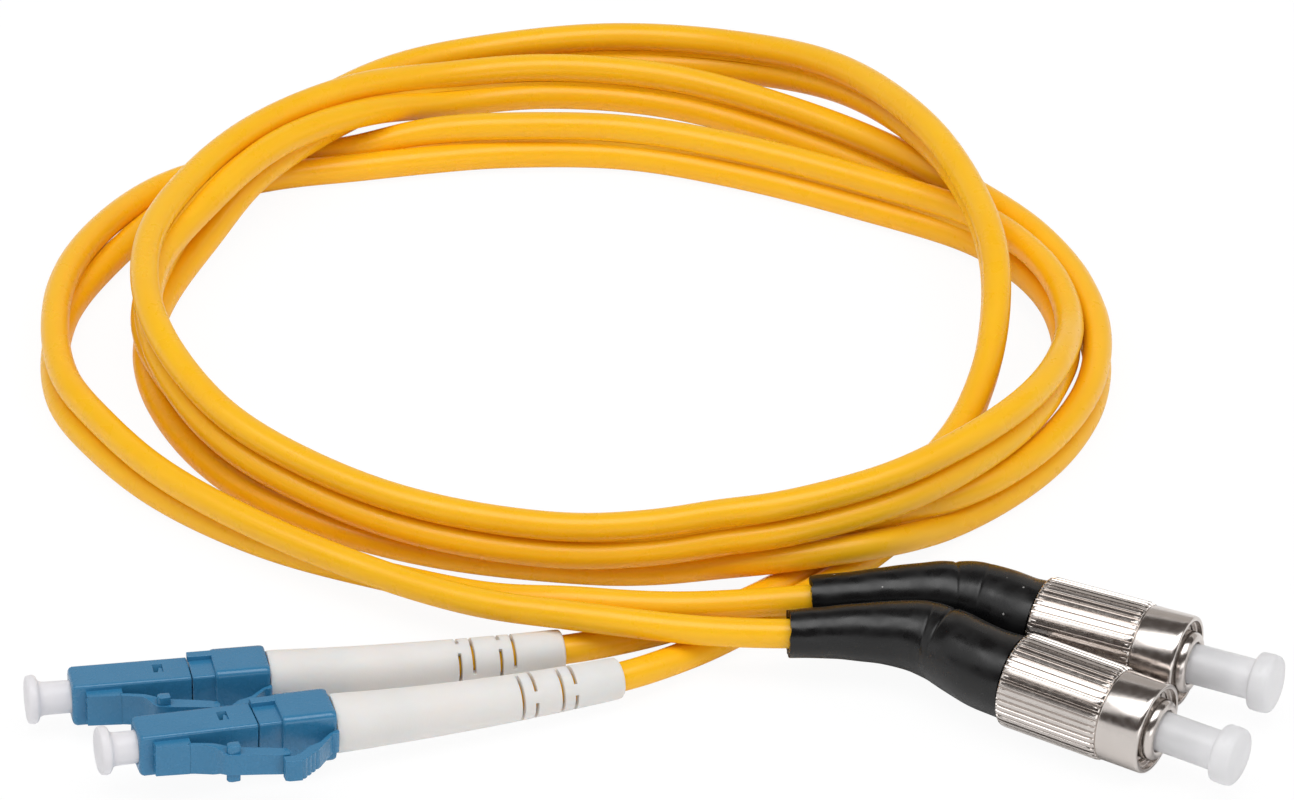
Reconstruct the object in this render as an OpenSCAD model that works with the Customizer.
// Duplex fibre optic patch cord, about one metre long.
// Two small square plugs with latches (LC style) on one end, two round
// screw-on plugs with knurled nuts (FC style) on the other, and between them
// a flat twin cable that lies in three loose turns. Millimetres, +Z up,
// origin under the middle of the whole cord, on the surface it lies on.

/* [Cable] */
// Outer diameter of each of the two jackets
jacket_d = 3; // [2.8:0.1:3]
// Distance between the centres of the two jackets
pair_pitch = 3.1; // [3.1:0.05:3.2]
// Wall of the jacket
jacket_wall = 0.5; // [0.4:0.05:0.55]
// Diameter of the tight buffer on the glass fibre
buffer_d = 0.9; // [0.6:0.05:0.9]

/* [Square plug] */
// Width and height of the plug's front housing
lc_w = 4.5; // [4.4:0.05:4.6]
// Length of the front housing
lc_front_len = 12; // [11.8:0.1:12.2]
// Width and height of the rear shell's thick block
lc_block_w = 5.6; // [5.5:0.05:6.1]
// Distance from the front face to the rear of the shell
lc_shell_end = 19.9; // [19.7:0.1:20.1]
// Distance from the front face to the tail of the boot
lc_boot_end = 50; // [48:0.5:50]
// Diameter of the small ferrule
lc_ferrule_d = 1.25; // [1.2:0.05:1.25]
// Diameter of the boot where it meets the shell
lc_boot_d = 6; // [5.8:0.1:6]
// Diameter of the boot at its tail
lc_tail_d = 4.2; // [4:0.1:4.4]

/* [Round plug] */
// Diameter over the knurled ridges of the nut
fc_nut_d = 9.8; // [9.6:0.1:9.8]
// Length of the knurled part of the nut
fc_knurl_len = 11.1; // [10.8:0.1:11.4]
// Diameter of the plain collar at the front of the nut
fc_collar_d = 9.4; // [9.2:0.1:9.5]
// Whole length of the nut
fc_nut_len = 15.75; // [15.5:0.05:16]
// Number of ridges around the nut
fc_ridges = 44; // [36:2:48]
// Diameter of the ceramic ferrule
fc_ferrule_d = 2.5; // [2.4:0.05:2.5]
// Diameter of the barrel inside the nut
fc_barrel_d = 6.4; // [6.3:0.05:6.4]

/* [Hidden] */

$fn = 48;
eps = 0.01;

// Colours of the real materials
c_jacket = "#F5B81E";
c_lc = "#2F6E96";
c_lc_boot = "#EDE8E6";
c_cap = "#F4F2F2";
c_rubber = "#1B1B1D";
c_nickel = "#C9C4BC";
c_zirconia = "#F7F6F0";
c_steel = "#9A9A98";
c_buffer = "#F2E9C8";
c_yarn = "#E0C15A";

// Where the plugs lie: a, then b
lc_front = [[-57.6, -52.4, 3.7], [-50.6, -62.8, 5.45]]; // middle of each front face
lc_yaw = [10, 14.85];
lc_pitch = [1.8, 3.15]; // nose up
lc_roll = [8.6, 6.7]; // latch side up
lc_bend_from = 22; // distance behind the front face at which the boot begins to bend
lc_bend_shift = [1, 2]; // how far aside each boot's tail lies
fc_back = [[36.9, -51.7, 5.35], [39.65, -42, 4.95]]; // back face of each nut
fc_yaw = [-29.5, -24.2];
fc_pitch = [-1.2, 0.2];

// The twin cable, from the square plugs to the round ones: the centre of
// strand a, and the angle in degrees at which strand a stands over strand b,
// 0 beside it towards the middle of the turns, 90 on top of it, 180 outside.
route = [
    // under the other turns, then up to the first crossing
    [9.5, -34.5, 1.5, 0], [17.5, -27.3, 1.5, 0], [24, -19.6, 2.3, 15], [30, -12.5, 4.3, 65],
    [33.5, -5.5, 5.2, 103], [36, 3.5, 7.5, 98], [36.5, 15, 10.3, 88], [34, 27, 10.95, 76],
    [29, 39, 11, 74],
    // first pass at the back, and down under the second turn
    [20.5, 52, 8.9, 82], [9, 61, 5.8, 94], [-4, 64, 4.7, 105], [-17, 62, 4.6, 110],
    [-28, 56, 5.8, 128], [-37.5, 46.5, 6.4, 155], [-44.5, 37.5, 6.2, 160], [-48.5, 29.5, 5.4, 138],
    [-52, 19, 4.6, 105], [-52.5, 8.5, 4.6, 90], [-48.5, -1.5, 4.2, 62], [-41.5, -11, 3.3, 36],
    [-32, -18, 2.2, 13], [-20, -23, 1.6, 2], [-6, -25.5, 1.5, 0], [1.5, -25.8, 1.7, 0],
    // flat over the first stretch, then down on edge at the right
    [7.5, -26.7, 3.1, 0], [13.5, -27.8, 4.85, 2], [22, -25.4, 5.35, 17], [26.5, -22.6, 5.1, 46],
    [31, -20.4, 4.6, 82], [36.5, -16.3, 4.6, 90], [42, -9.7, 4.6, 90], [46, -1, 4.6, 90],
    [47.2, 8, 4.6, 90], [46.3, 14.8, 4.6, 92], [44.1, 21.5, 4.6, 95], [38.9, 30, 4.6, 98],
    [26.5, 42.5, 4.5, 102], [14, 51, 4.5, 105],
    // second pass at the back, and over the first turn on the left
    [2, 56.5, 4.5, 105], [-11, 58, 4.7, 108], [-22.5, 55, 5.6, 122], [-32, 48.5, 8.4, 147],
    [-42, 39.5, 9.4, 164], [-49, 28, 10, 135], [-52.5, 15.5, 10.8, 102], [-51, 1.5, 10.8, 90],
    [-44, -11, 9, 81], [-34, -19.5, 7.9, 80], [-22.5, -26, 7.7, 80], [-9, -29.5, 7.7, 80],
    [1, -29.6, 8.2, 80], [7, -30.1, 9.8, 80], [13.5, -30.4, 11, 80], [23.5, -26, 10.9, 80],
    [30, -21.2, 10.8, 82], [36, -15.4, 10.75, 87], [40.3, -8.9, 10.1, 93], [42.9, -1.7, 8.9, 98],
    [44.2, 7.6, 6.5, 95], [43.2, 15.3, 6.2, 95], [40.3, 22.1, 5.9, 97], [34.5, 30, 5, 99],
    [23, 37, 4.5, 103],
    // third pass at the back, then the outermost turn on the left
    [11, 42.5, 4.5, 105], [-2, 46.5, 4.5, 105], [-15, 47, 4.5, 110], [-24, 47, 3.75, 134],
    [-32, 46.5, 1.7, 176], [-42, 44.5, 1.6, 178], [-52, 39, 2.05, 170], [-59, 27, 3.8, 132],
    [-62, 15, 4.6, 97], [-61, 2, 4.6, 81], [-56.5, -7, 4.6, 79], [-49.5, -16.5, 4.6, 91],
    [-39, -25.5, 4.5, 110], [-27, -33, 4.3, 140], [-17, -38.5, 4.9, 156], [-8.5, -41.5, 5.7, 171],
    [-2, -42.5, 5.4, 178]];

// The single strands between the pair and the plugs: [x, y, z, angle]
lc_leg = [[[-4.4, -41.2, 1.8, 0], [1.3, -38.7, 1.5, 0]], [[1.5, -45.4, 2.35, 0], [6, -41.6, 1.6, 0]]];
fc_leg = [[[5.5, -43.6, 5.2, 178], [14.2, -44.3, 5.35, 178]],
    [[5.5, -39.2, 5, 178], [16.6, -38, 4.95, 178]]];
// The strands' way through the bent boots, from the tail to the crimp sleeve
fc_inside = [[[18.9, -44, 5.35, 178], [23.2, -44.3, 5.35, 178], [26.3, -45.3, 5.35, 178],
    [28.9, -46.8, 5.35, 178]],
    [[21.8, -37.6, 4.95, 178], [26.5, -37.4, 4.95, 178], [30.2, -38, 4.95, 178],
    [33.2, -39, 4.95, 178]]];
// The bent boots' own centre lines and outside radii, from the nut to the tail
fc_boot_line = [[[34.15, -50.1], [31.9, -48.1], [29.5, -45.7], [26.7, -44.5], [23.2, -44.05],
    [18.9, -44], [14.2, -44.3]],
    [[38, -41.25], [35.9, -39.6], [33.2, -38.1], [30.2, -37.4], [26.5, -37.2], [21.8, -37.6],
    [16.6, -38]]];
fc_boot_r = [4.35, 4.2, 4.1, 3.95, 3.6, 3.1, 2.7, 2.4];
fc_boot_bore = [3.3, 3.25, 3.2, 2.9, 2.3, 1.75, 1.7, 1.7];

// Points on a plug's axis: s is the distance behind the front of a square
// plug, x the distance in front of the back of a round plug's nut
function heading(yaw, pitch) = [cos(yaw) * cos(pitch), sin(yaw) * cos(pitch), sin(pitch)];
function lc_point(i, s) = lc_front[i] - s * heading(lc_yaw[i] + 180, lc_pitch[i]);
function fc_point(i, x) = fc_back[i] + x * heading(fc_yaw[i], fc_pitch[i]);
function with_roll(p, roll) = [p.x, p.y, p.z, roll];

// The bend of a square plug's boot: a parabola to the side
lc_bend_reach = lc_boot_end - lc_bend_from;
function lc_bend(i, s) = lc_bend_shift[i] * pow(max(s - lc_bend_from, 0) / lc_bend_reach, 2);
function lc_bend_angle(i, s) =
    atan(2 * lc_bend_shift[i] * max(s - lc_bend_from, 0) / pow(lc_bend_reach, 2));
function lc_line(i, s) = lc_point(i, s) + lc_bend(i, s) * [-sin(lc_yaw[i]), cos(lc_yaw[i]), 0];

// Frame along a route: unit tangent, then the direction of the pair at its roll
function unit(v) = v / norm(v);
function place(p) = [p.x, p.y, p.z];
function along(r, i) = unit(place(r[min(i + 1, len(r) - 1)]) - place(r[max(i - 1, 0)]));
function level_normal(t) = unit([-t.y, t.x, 0]);
function pair_dir(t, roll) = let(d = cos(roll) * level_normal(t) + sin(roll) * [0, 0, 1])
    unit(d - (d * t) * t);
function beside(r, i) = place(r[i]) - pair_pitch * pair_dir(along(r, i), r[i][3]);

// Both strands, whole: inside the square plug's boot, leg, pair, leg, round plug
lc_jacket_start = 28; // distance behind the plug's front
fc_jacket_end = -4.4; // distance from the nut's back face
pair = [route, [for (i = [0:len(route) - 1]) with_roll(beside(route, i), route[i][3])]];
strand = [for (i = [0, 1]) concat(
    [for (s = [lc_jacket_start, (lc_jacket_start + lc_boot_end) / 2, lc_boot_end])
        with_roll(lc_line(i, s), 0)],
    lc_leg[i], pair[i], fc_leg[i], fc_inside[i],
    [with_roll(fc_point(i, fc_jacket_end), 178)])];

// One ring of a tube: corners of a polygon around a point of a route
function ring(r, i, radius, sides, shift = 0) =
    let(t = along(r, i), d = pair_dir(t, r[i][3]), e = cross(t, d))
    [for (k = [0:sides - 1]) let(a = (k + 0.5) * 360 / sides)
        place(r[i]) + shift * e + radius * (cos(a) * d + sin(a) * e)];
function wall_faces(first, rings, sides, out) =
    [for (i = [0:rings - 2], k = [0:sides - 1])
        let(a = first + i * sides + k, b = first + i * sides + (k + 1) % sides)
        out ? [a, b, b + sides, a + sides] : [a + sides, b + sides, b, a]];

// A rod with a polygon section along a route
module rod(r, radius, sides, shift = 0) {
    n = len(r);
    polyhedron(
        [for (i = [0:n - 1]) each ring(r, i, radius, sides, shift)],
        concat([[for (k = [sides - 1:-1:0]) k]], wall_faces(0, n, sides, true),
            [[for (k = [0:sides - 1]) (n - 1) * sides + k]]), 6);
}

// A hollow tube along a route; its radii may change from ring to ring
module tube(r, outer, inner, sides) {
    n = len(r);
    skin = n * sides;
    polyhedron(
        concat([for (i = [0:n - 1]) each ring(r, i, outer[i], sides)],
            [for (i = [0:n - 1]) each ring(r, i, inner[i], sides)]),
        concat(wall_faces(0, n, sides, true), wall_faces(skin, n, sides, false),
            [for (k = [0:sides - 1]) let(j = (k + 1) % sides) [k, skin + k, skin + j, j]],
            [for (k = [0:sides - 1]) let(j = (k + 1) % sides, o = skin - sides)
                [o + j, skin + o + j, skin + o + k, o + k]]), 6);
}

jacket_sides = 8;
module jacket(i) color(c_jacket)
    tube(strand[i], [for (p = strand[i]) jacket_d / 2],
        [for (p = strand[i]) jacket_d / 2 - jacket_wall], jacket_sides);

// The thin web that joins the two jackets along the pair
web_t = 0.6;
web_bite = 0.05;
flat_r = jacket_d / 2 * cos(180 / jacket_sides) - web_bite;
module web() color(c_jacket) {
    n = len(route);
    polyhedron(
        [for (i = [0:n - 1])
            let(a = place(pair[0][i]), b = place(pair[1][i]), t = along(route, i),
                d = unit(a - b), e = cross(t, d) * web_t / 2)
            each [a - flat_r * d - e, a - flat_r * d + e, b + flat_r * d + e, b + flat_r * d - e]],
        concat([[0, 1, 2, 3]], wall_faces(0, n, 4, false),
            [[for (k = [3:-1:0]) (n - 1) * 4 + k]]), 6);
}

// Buffered fibre from ferrule to ferrule, and the aramid yarn beside it
fibre_sides = 6;
lc_fibre_start = 9.3;
fc_fibre_end = 5.7;
module fibre(i) color(c_buffer)
    rod(concat([with_roll(lc_point(i, lc_fibre_start), 0)], strand[i],
        [with_roll(fc_point(i, fc_fibre_end), 178)]), buffer_d / 2, fibre_sides);
yarn_r = 0.15;
yarn_shift = 0.66;
module yarn(i) color(c_yarn) rod(strand[i], yarn_r, 5, yarn_shift);

// ---- Square plug. Local frame: +X the way it plugs in, origin in the middle
// of the front face, +Y the latch side, which faces the front of the cord.
module lc(i) lc_level(i) rotate([lc_roll[i], 0, 0]) children();
module lc_level(i) translate(lc_front[i]) rotate([0, -lc_pitch[i], lc_yaw[i] + 180]) children();

// A cylinder along the plug's axis, from x = a to x = b
module bar(a, b, d) translate([a, 0, 0]) rotate([0, 90, 0]) cylinder(h = b - a, d = d);
// A square block along the axis with its long edges cut at 45 degrees
module block(a, b, w, cut) translate([b, 0, 0]) rotate([0, -90, 0])
    linear_extrude(b - a) bevelled(w, cut);
module bevelled(w, cut) {
    h = w / 2;
    c = h - cut;
    polygon([[c, h], [h, c], [h, -c], [c, -h], [-c, -h], [-h, -c], [-h, c], [-c, h]]);
}

lc_bore = 3.36; // front opening, around the cap's stem
lc_throat_x = -5.5;
lc_throat_d = 2;
lc_seat_x = -6.7;
lc_rear_bore = 3.2;
lc_half = lc_w / 2;

lc_root_h = 3.3; // width of the plate that the latch grows from
module lc_housing(i) color(c_lc) lc(i) {
    difference() {
        union() {
            block(-lc_front_len, -0.35, lc_w, 0.25);
            block(-1, 0, lc_w - 0.5, 0.3);
            translate([0, 0, -lc_root_h / 2]) linear_extrude(lc_root_h)
                polygon([[-1.4, 2.05], [-4.95, 2.05], [-4.95, 3.05], [-4.55, 3.05],
                    [-4.55, 3.65], [-1.4, 3.38]]);
        }
        bar(lc_throat_x, eps, lc_bore);
        bar(lc_seat_x - eps, lc_throat_x + eps, lc_throat_d);
        bar(-lc_front_len - eps, lc_seat_x, lc_rear_bore);
        lc_windows();
    }
}
// Small windows above and below that hold the inner parts' snaps
lc_window = [1.2, 1.3];
lc_window_x = -9.2;
module lc_windows() translate([lc_window_x, -lc_window.y / 2, -lc_w])
    cube([lc_window.x, lc_window.y, 2 * lc_w]);

// The latch: a flexible arm that stands off to the rear, with a hook on each edge
lc_pin = [-4.9, 3.45];
lc_pin_d = 0.5;
lc_arm_h = 2.3;
lc_arm_tip = -14.2;
lc_hook = [1, 0.8]; // length and thickness of a hook
lc_hook_z = 2.05; // half of the width over both hooks
module lc_latch(i) color(c_lc) lc(i) {
    latch_strip(lc_root_h, -7.2);
    latch_strip(lc_arm_h, lc_arm_tip);
    for (side = [-1, 1]) translate([-9.3, 4.6, side * (lc_hook_z - 0.5) - 0.5])
        cube([lc_hook.x, lc_hook.y, 1]);
}
// A slice of the latch's side view, from its root to a place behind it
module latch_strip(h, to) translate([0, 0, -h / 2]) linear_extrude(h) intersection() {
    latch_outline();
    translate([to, 0]) square([lc_pin.x - to + 1, 10]);
}
module latch_outline() {
    translate(lc_pin) circle(d = lc_pin_d);
    polygon([[lc_pin.x, lc_pin.y - lc_pin_d / 2], [-6.6, 3.6], [-7.7, 3.9], [-9.7, 4.25],
        [-11.8, 4.8], [lc_arm_tip, 5.5], [lc_arm_tip, 6.3], [-13.9, 6.7], [-13.5, 6.5], [-9.2, 5.8],
        [-8, 5.5], [-7.5, 4.75], [-6.85, 4.3], [lc_pin.x, lc_pin.y + lc_pin_d / 2]]);
}

// Rear shell: a short neck behind the seam, then the thick block
lc_neck_end = -14.4;
lc_post_bore = 4.02;
module lc_shell(i) color(c_lc) lc(i) difference() {
    union() {
        block(lc_neck_end - eps, -lc_front_len - 0.02, lc_w, 0.25);
        block(-lc_shell_end + 0.6, lc_neck_end, lc_block_w, 0.75);
        block(-lc_shell_end, -lc_shell_end + 1, lc_block_w - 0.3, 0.95);
        translate([lc_neck_end, -lc_half, lc_half - 0.2]) cube([2.3, 0.8, 0.45]);
        translate([lc_neck_end, -lc_half, -lc_half - 0.25]) cube([2.3, 0.8, 0.45]);
    }
    bar(-lc_shell_end - eps, -lc_front_len, lc_post_bore);
}

// Trigger: the lever behind the shell whose ridged pad presses the latch
trigger_pivot = [-19.45, lc_block_w / 2 + 0.53];
trigger_h = 2.3;
ridge = 0.25;
module lc_trigger(i) color(c_lc) lc(i) translate([0, 0, -trigger_h / 2]) linear_extrude(trigger_h) {
    translate(trigger_pivot) circle(r = 0.5);
    polygon([[trigger_pivot.x - 0.45, 3.55], [trigger_pivot.x + 0.45, 3.15], [-17.6, 5], [-16.2, 5.65],
        [-15.3, 6.65], [-14.6, 7], [-13.4, 7], [-13.4, 7.9], [-13.8, 8.1],
        for (k = [0:3]) let(x = -15.1 - 0.55 * k, y = 8.2 - 0.5 * k)
            each [[x, y], [x - 0.05, y - ridge], [x - 0.4, y - ridge - 0.1]],
        [-17.4, 6.1]]);
}

// Ceramic ferrule, pressed into its metal flange
lc_tip_x = -0.8;
lc_ferrule_back = -7.3;
lc_ferrule_cone = 0.25;
module lc_ferrule(i) color(c_zirconia) lc(i) {
    bar(lc_ferrule_back, lc_tip_x - lc_ferrule_cone, lc_ferrule_d);
    translate([lc_tip_x - lc_ferrule_cone - eps, 0, 0]) rotate([0, 90, 0])
        cylinder(h = lc_ferrule_cone + eps, d1 = lc_ferrule_d, d2 = lc_ferrule_d - 0.4);
}
lc_flange_front = lc_seat_x - 0.05;
lc_flange_t = 1.15;
module lc_flange(i) color(c_nickel) lc(i) difference() {
    union() {
        bar(lc_flange_front - lc_flange_t, lc_flange_front, 2.7);
        bar(-11.3, lc_flange_front - lc_flange_t + eps, 1.6);
    }
    bar(lc_ferrule_back, 0, lc_ferrule_d);
    bar(-12, -7.9, 1.1);
}

// Compression spring: a helix of round wire between two planes
module spring(from, to, mean_d, wire_d, turns) {
    steps = 10 * turns;
    pitch_len = to - from - wire_d;
    sides = 5;
    polyhedron(
        [for (i = [0:steps], k = [0:sides - 1])
            let(a = i * 36, b = (k + 0.5) * 360 / sides,
                x = from + wire_d / 2 + pitch_len * i / steps,
                q = mean_d / 2 + wire_d / 2 * cos(b))
            [x + wire_d / 2 * sin(b), q * cos(a), q * sin(a)]],
        concat([[for (k = [0:sides - 1]) k]], wall_faces(0, steps + 1, sides, false),
            [[for (k = [sides - 1:-1:0]) steps * sides + k]]), 6);
}
lc_post_front = -12.45;
module lc_spring(i) color(c_steel) lc(i)
    spring(lc_post_front + 0.05, lc_flange_front - lc_flange_t - 0.05, 2.25, 0.35, 5);

// Backpost: closes the housing and carries the crimp
lc_post_end = -26.5;
module lc_backpost(i) color(c_nickel) lc(i) difference() {
    union() {
        bar(-18.9, lc_post_front, 4);
        bar(lc_post_end, -18.9 + eps, 2.5);
    }
    bar(lc_post_end - eps, lc_post_front + eps, 1.3);
    bar(lc_post_front - 1.4, lc_post_front + eps, 1.9);
}
lc_crimp_d = 3.9;
module lc_crimp(i) color(c_nickel) lc(i) difference() {
    bar(-27.9, -19.1, lc_crimp_d);
    bar(-28, -19, 2.54);
}

// Tapered boot, gently bent, with rows of flexing cuts near its tail
lc_boot_bore = jacket_d + 0.12;
lc_boot_socket = 4.2; // bore over the crimp sleeve
lc_boot_front = lc_shell_end + 0.06;
lc_boot_s = [lc_boot_front, lc_jacket_start - 0.05, lc_jacket_start, 39, lc_boot_end - 0.3,
    lc_boot_end];
lc_boot_r = [lc_boot_d / 2, 2.7, 2.7, 2.37, lc_tail_d / 2, lc_tail_d / 2 - 0.25];
lc_boot_rows = [39.5, 41.3, 43.6, 45.5];
lc_boot_sides = 24;
module lc_boot(i) color(c_lc_boot) difference() {
    tube([for (s = lc_boot_s) with_roll(lc_line(i, s), 0)], lc_boot_r,
        [for (s = lc_boot_s) (s < lc_jacket_start ? lc_boot_socket : lc_boot_bore) / 2],
        lc_boot_sides);
    lc_level(i) for (k = [0:3]) boot_row(i, lc_boot_rows[k], 125 - 90 * (k % 2));
}
// A row of cuts round the boot, down to a thin wall, with a bridge left on each side
boot_cut_w = 0.4;
boot_bridge = 1.3;
module boot_row(i, s, turn) translate([-s, -lc_bend(i, s), 0])
    rotate([0, 0, lc_bend_angle(i, s)]) rotate([turn, 0, 0]) difference() {
        bar(-boot_cut_w / 2, boot_cut_w / 2, 8);
        bar(-1, 1, lc_boot_bore + 0.5);
        translate([-1, -5, -boot_bridge / 2]) cube([2, 10, boot_bridge]);
    }

// Dust cap: a stem over the ferrule with a wide head to pull
lc_cap_stem = 3.3;
lc_cap_gap = [3.2, 2.6]; // length of stem that shows
lc_cap_end = -4.4; // stays clear of the throat while the ferrule springs back
module lc_cap(i) color(c_cap) lc(i) difference() {
    rotate([0, 90, 0]) rotate_extrude() polygon([
        [0, lc_cap_gap[i] + 1.25], [2, lc_cap_gap[i] + 1.25], [2.4, lc_cap_gap[i] + 0.9],
        [2.45, lc_cap_gap[i] + 0.4], [2.1, lc_cap_gap[i]], [lc_cap_stem / 2, lc_cap_gap[i] - 0.5],
        [lc_cap_stem / 2, lc_cap_end], [0, lc_cap_end]]);
    bar(lc_throat_x, 0.8, lc_ferrule_d + 0.06);
}

// ---- Round plug. Local frame: +X the way it plugs in, origin in the middle of
// the nut's back face.
module fc(i) translate(fc_point(i, 0)) rotate([0, -fc_pitch[i], fc_yaw[i]]) children();

fc_nose_x = 16.3; // front of the barrel, just proud of the nut
fc_cap_bore = 4.16;
fc_throat = [9, 10];
fc_throat_d = 2.7;
fc_rear_bore = 4.4;
fc_key_w = 2;
fc_key_r = 3.6;
module fc_barrel(i) color(c_nickel) fc(i) difference() {
    union() {
        bar(0.3, fc_nose_x - 0.4, fc_barrel_d);
        translate([fc_nose_x - 0.4 - eps, 0, 0]) rotate([0, 90, 0])
            cylinder(h = 0.4 + eps, d1 = fc_barrel_d, d2 = fc_barrel_d - 0.8);
        bar(7, 8, 7.2);
        translate([11.5, -fc_key_w / 2, 2]) cube([3.9, fc_key_w, fc_key_r - 2]);
    }
    bar(fc_throat[1], fc_nose_x + eps, fc_cap_bore);
    bar(fc_throat[0] - eps, fc_throat[1] + eps, fc_throat_d);
    bar(0, fc_throat[0], fc_rear_bore);
}

// Knurled coupling nut with a fine thread inside its front
fc_lip = 2.5;
fc_lip_bore = 6.52;
fc_nut_bore = 8.1;
fc_thread_d = 7.4;
fc_thread_step = 0.75;
fc_threads = 7;
module fc_nut(i) color(c_nickel) fc(i) difference() {
    union() {
        translate([0, 0, 0]) rotate([0, 90, 0]) linear_extrude(fc_knurl_len) knurl();
        bar(fc_knurl_len - eps, fc_nut_len - 0.3, fc_collar_d);
        translate([fc_nut_len - 0.3 - eps, 0, 0]) rotate([0, 90, 0])
            cylinder(h = 0.3 + eps, d1 = fc_collar_d, d2 = fc_collar_d - 0.5);
    }
    bar(-eps, fc_lip + eps, fc_lip_bore);
    bar(fc_lip, 9.2, fc_nut_bore);
    bar(9.2 - eps, fc_nut_len + eps, fc_thread_d);
    rotate([0, 90, 0]) rotate_extrude() for (k = [0:fc_threads - 1])
        translate([fc_thread_d / 2, 9.6 + k * fc_thread_step])
            polygon([[-0.1, -0.3], [0.3, -0.08], [0.3, 0.08], [-0.1, 0.3]]);
    bar(fc_nut_len - 0.8, fc_nut_len + eps, 8.4);
}
// Outline of the knurl: straight ridges with flat crests
ridge_depth = 0.22;
module knurl() {
    step = 360 / fc_ridges;
    crest = fc_nut_d / 2;
    polygon([for (k = [0:fc_ridges - 1], q = [[0, 0], [0.42, 0], [0.62, 1], [0.8, 1]])
        let(a = (k + q[0]) * step, r = crest - q[1] * ridge_depth) [r * cos(a), r * sin(a)]]);
}

// Slip ring that carries the nut along the barrel and lets it turn
fc_washer_x = [2.56, 3.2];
module fc_washer(i) color(c_steel) fc(i) difference() {
    bar(fc_washer_x[0], fc_washer_x[1], 7.9);
    bar(fc_washer_x[0] - eps, fc_washer_x[1] + eps, fc_barrel_d + 0.08);
}

fc_tip_x = 19.6;
fc_ferrule_back = 7.9;
fc_cone = 0.5;
module fc_ferrule(i) color(c_zirconia) fc(i) {
    bar(fc_ferrule_back, fc_tip_x - fc_cone, fc_ferrule_d);
    translate([fc_tip_x - fc_cone - eps, 0, 0]) rotate([0, 90, 0])
        cylinder(h = fc_cone + eps, d1 = fc_ferrule_d, d2 = fc_ferrule_d - 0.7);
}
fc_flange_front = fc_throat[0] - 0.05;
fc_flange_t = 1.5;
module fc_flange(i) color(c_nickel) fc(i) difference() {
    union() {
        bar(fc_flange_front - fc_flange_t, fc_flange_front, 4.1);
        bar(4, fc_flange_front - fc_flange_t + eps, 2.3);
    }
    bar(fc_ferrule_back, fc_nose_x, fc_ferrule_d);
    bar(3, 7.2, 1.1);
}

fc_post_front = 2.2;
module fc_spring(i) color(c_steel) fc(i)
    spring(fc_post_front + 0.05, fc_flange_front - fc_flange_t - 0.05, 3.3, 0.5, 4);

// Backpost: closes the barrel from behind, with a neck for the boot
module fc_backpost(i) color(c_nickel) fc(i) difference() {
    union() {
        bar(0.28, fc_post_front, fc_rear_bore);
        bar(-1.2, 0.28 + eps, fc_barrel_d);
        bar(-4.2, -1.2 + eps, 2.5);
    }
    bar(-4.3, fc_post_front + eps, 1.3);
    bar(fc_post_front - 1.5, fc_post_front + eps, 2.7);
}
module fc_crimp(i) color(c_nickel) fc(i) difference() {
    bar(-5.4, -1.25, 3.9);
    bar(-6, -1, 3.12);
}

// Bent rubber boot: a hollow tube that swells towards the nut
fc_boot_front = -0.2;
fc_boot_sides = 24;
module fc_boot(i) color(c_rubber)
    tube(concat([with_roll(fc_point(i, fc_boot_front), 0)],
        [for (p = fc_boot_line[i]) [p.x, p.y, fc_back[i].z, 0]]),
        fc_boot_r, fc_boot_bore, fc_boot_sides);

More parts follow.
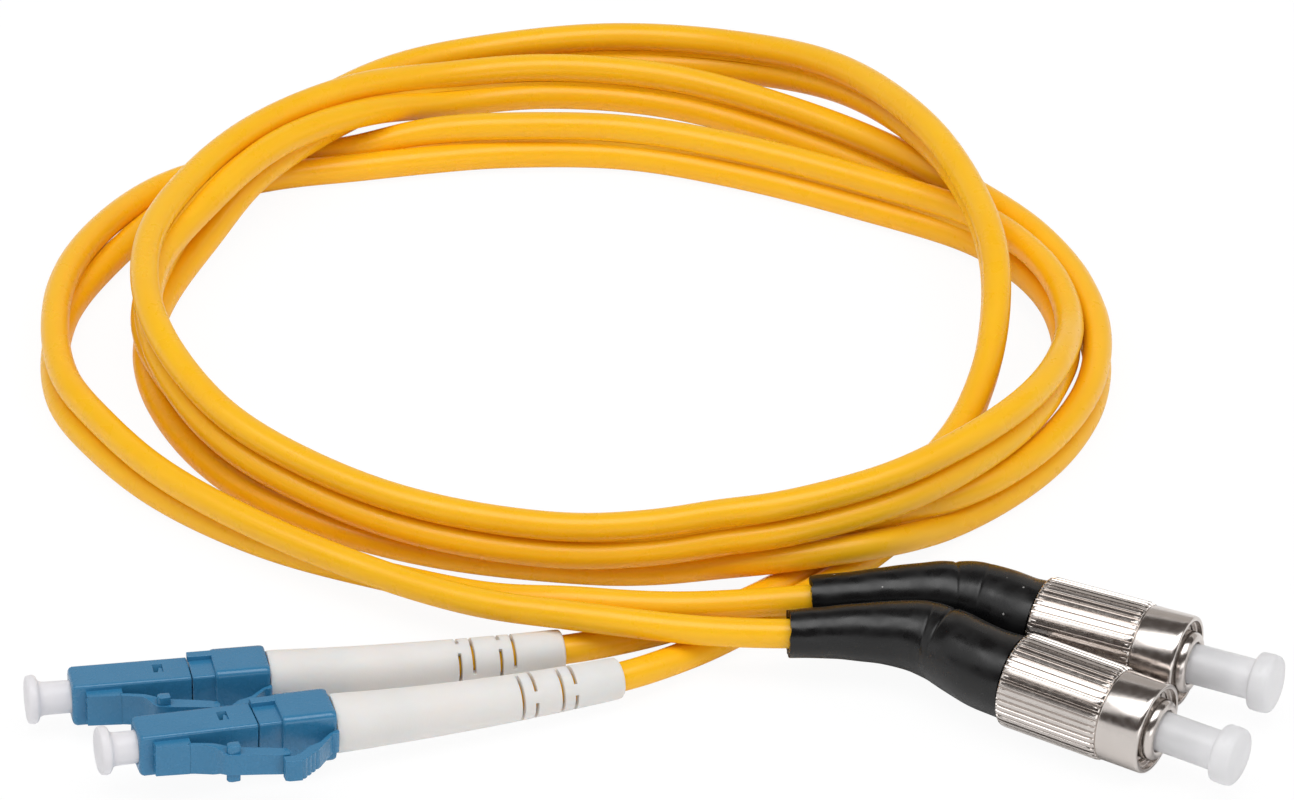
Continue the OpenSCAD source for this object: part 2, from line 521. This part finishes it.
fc_cap_stem = 4.1;
fc_cap_head_x = [22.7, 23.1];
fc_cap_end = 11.2;
module fc_cap(i) color(c_cap) fc(i) difference() {
    rotate([0, 90, 0]) rotate_extrude() polygon([
        [0, fc_cap_head_x[i] + 2.3], [2.3, fc_cap_head_x[i] + 2.3], [2.8, fc_cap_head_x[i] + 1.9],
        [3, fc_cap_head_x[i] + 1.4], [3, fc_cap_head_x[i] + 0.5], [2.8, fc_cap_head_x[i] + 0.1],
        [fc_cap_stem / 2, fc_cap_head_x[i]], [fc_cap_stem / 2, fc_cap_end], [0, fc_cap_end]]);
    bar(fc_throat[1], fc_tip_x + 1.2, fc_ferrule_d + 0.08);
}

jacket(0);  // jacket_a
jacket(1);  // jacket_b
web();
fibre(0);  // fibre_a
fibre(1);  // fibre_b
yarn(0);  // yarn_a
yarn(1);  // yarn_b
lc_housing(0);  // lc_housing_a
lc_latch(0);  // lc_latch_a
lc_shell(0);  // lc_shell_a
lc_trigger(0);  // lc_trigger_a
lc_ferrule(0);  // lc_ferrule_a
lc_flange(0);  // lc_flange_a
lc_spring(0);  // lc_spring_a
lc_backpost(0);  // lc_backpost_a
lc_crimp(0);  // lc_crimp_a
lc_boot(0);  // lc_boot_a
lc_cap(0);  // lc_cap_a
lc_housing(1);  // lc_housing_b
lc_latch(1);  // lc_latch_b
lc_shell(1);  // lc_shell_b
lc_trigger(1);  // lc_trigger_b
lc_ferrule(1);  // lc_ferrule_b
lc_flange(1);  // lc_flange_b
lc_spring(1);  // lc_spring_b
lc_backpost(1);  // lc_backpost_b
lc_crimp(1);  // lc_crimp_b
lc_boot(1);  // lc_boot_b
lc_cap(1);  // lc_cap_b
fc_barrel(0);  // fc_barrel_a
fc_nut(0);  // fc_nut_a
fc_washer(0);  // fc_washer_a
fc_ferrule(0);  // fc_ferrule_a
fc_flange(0);  // fc_flange_a
fc_spring(0);  // fc_spring_a
fc_backpost(0);  // fc_backpost_a
fc_crimp(0);  // fc_crimp_a
fc_boot(0);  // fc_boot_a
fc_cap(0);  // fc_cap_a
fc_barrel(1);  // fc_barrel_b
fc_nut(1);  // fc_nut_b
fc_washer(1);  // fc_washer_b
fc_ferrule(1);  // fc_ferrule_b
fc_flange(1);  // fc_flange_b
fc_spring(1);  // fc_spring_b
fc_backpost(1);  // fc_backpost_b
fc_crimp(1);  // fc_crimp_b
fc_boot(1);  // fc_boot_b
fc_cap(1);  // fc_cap_b
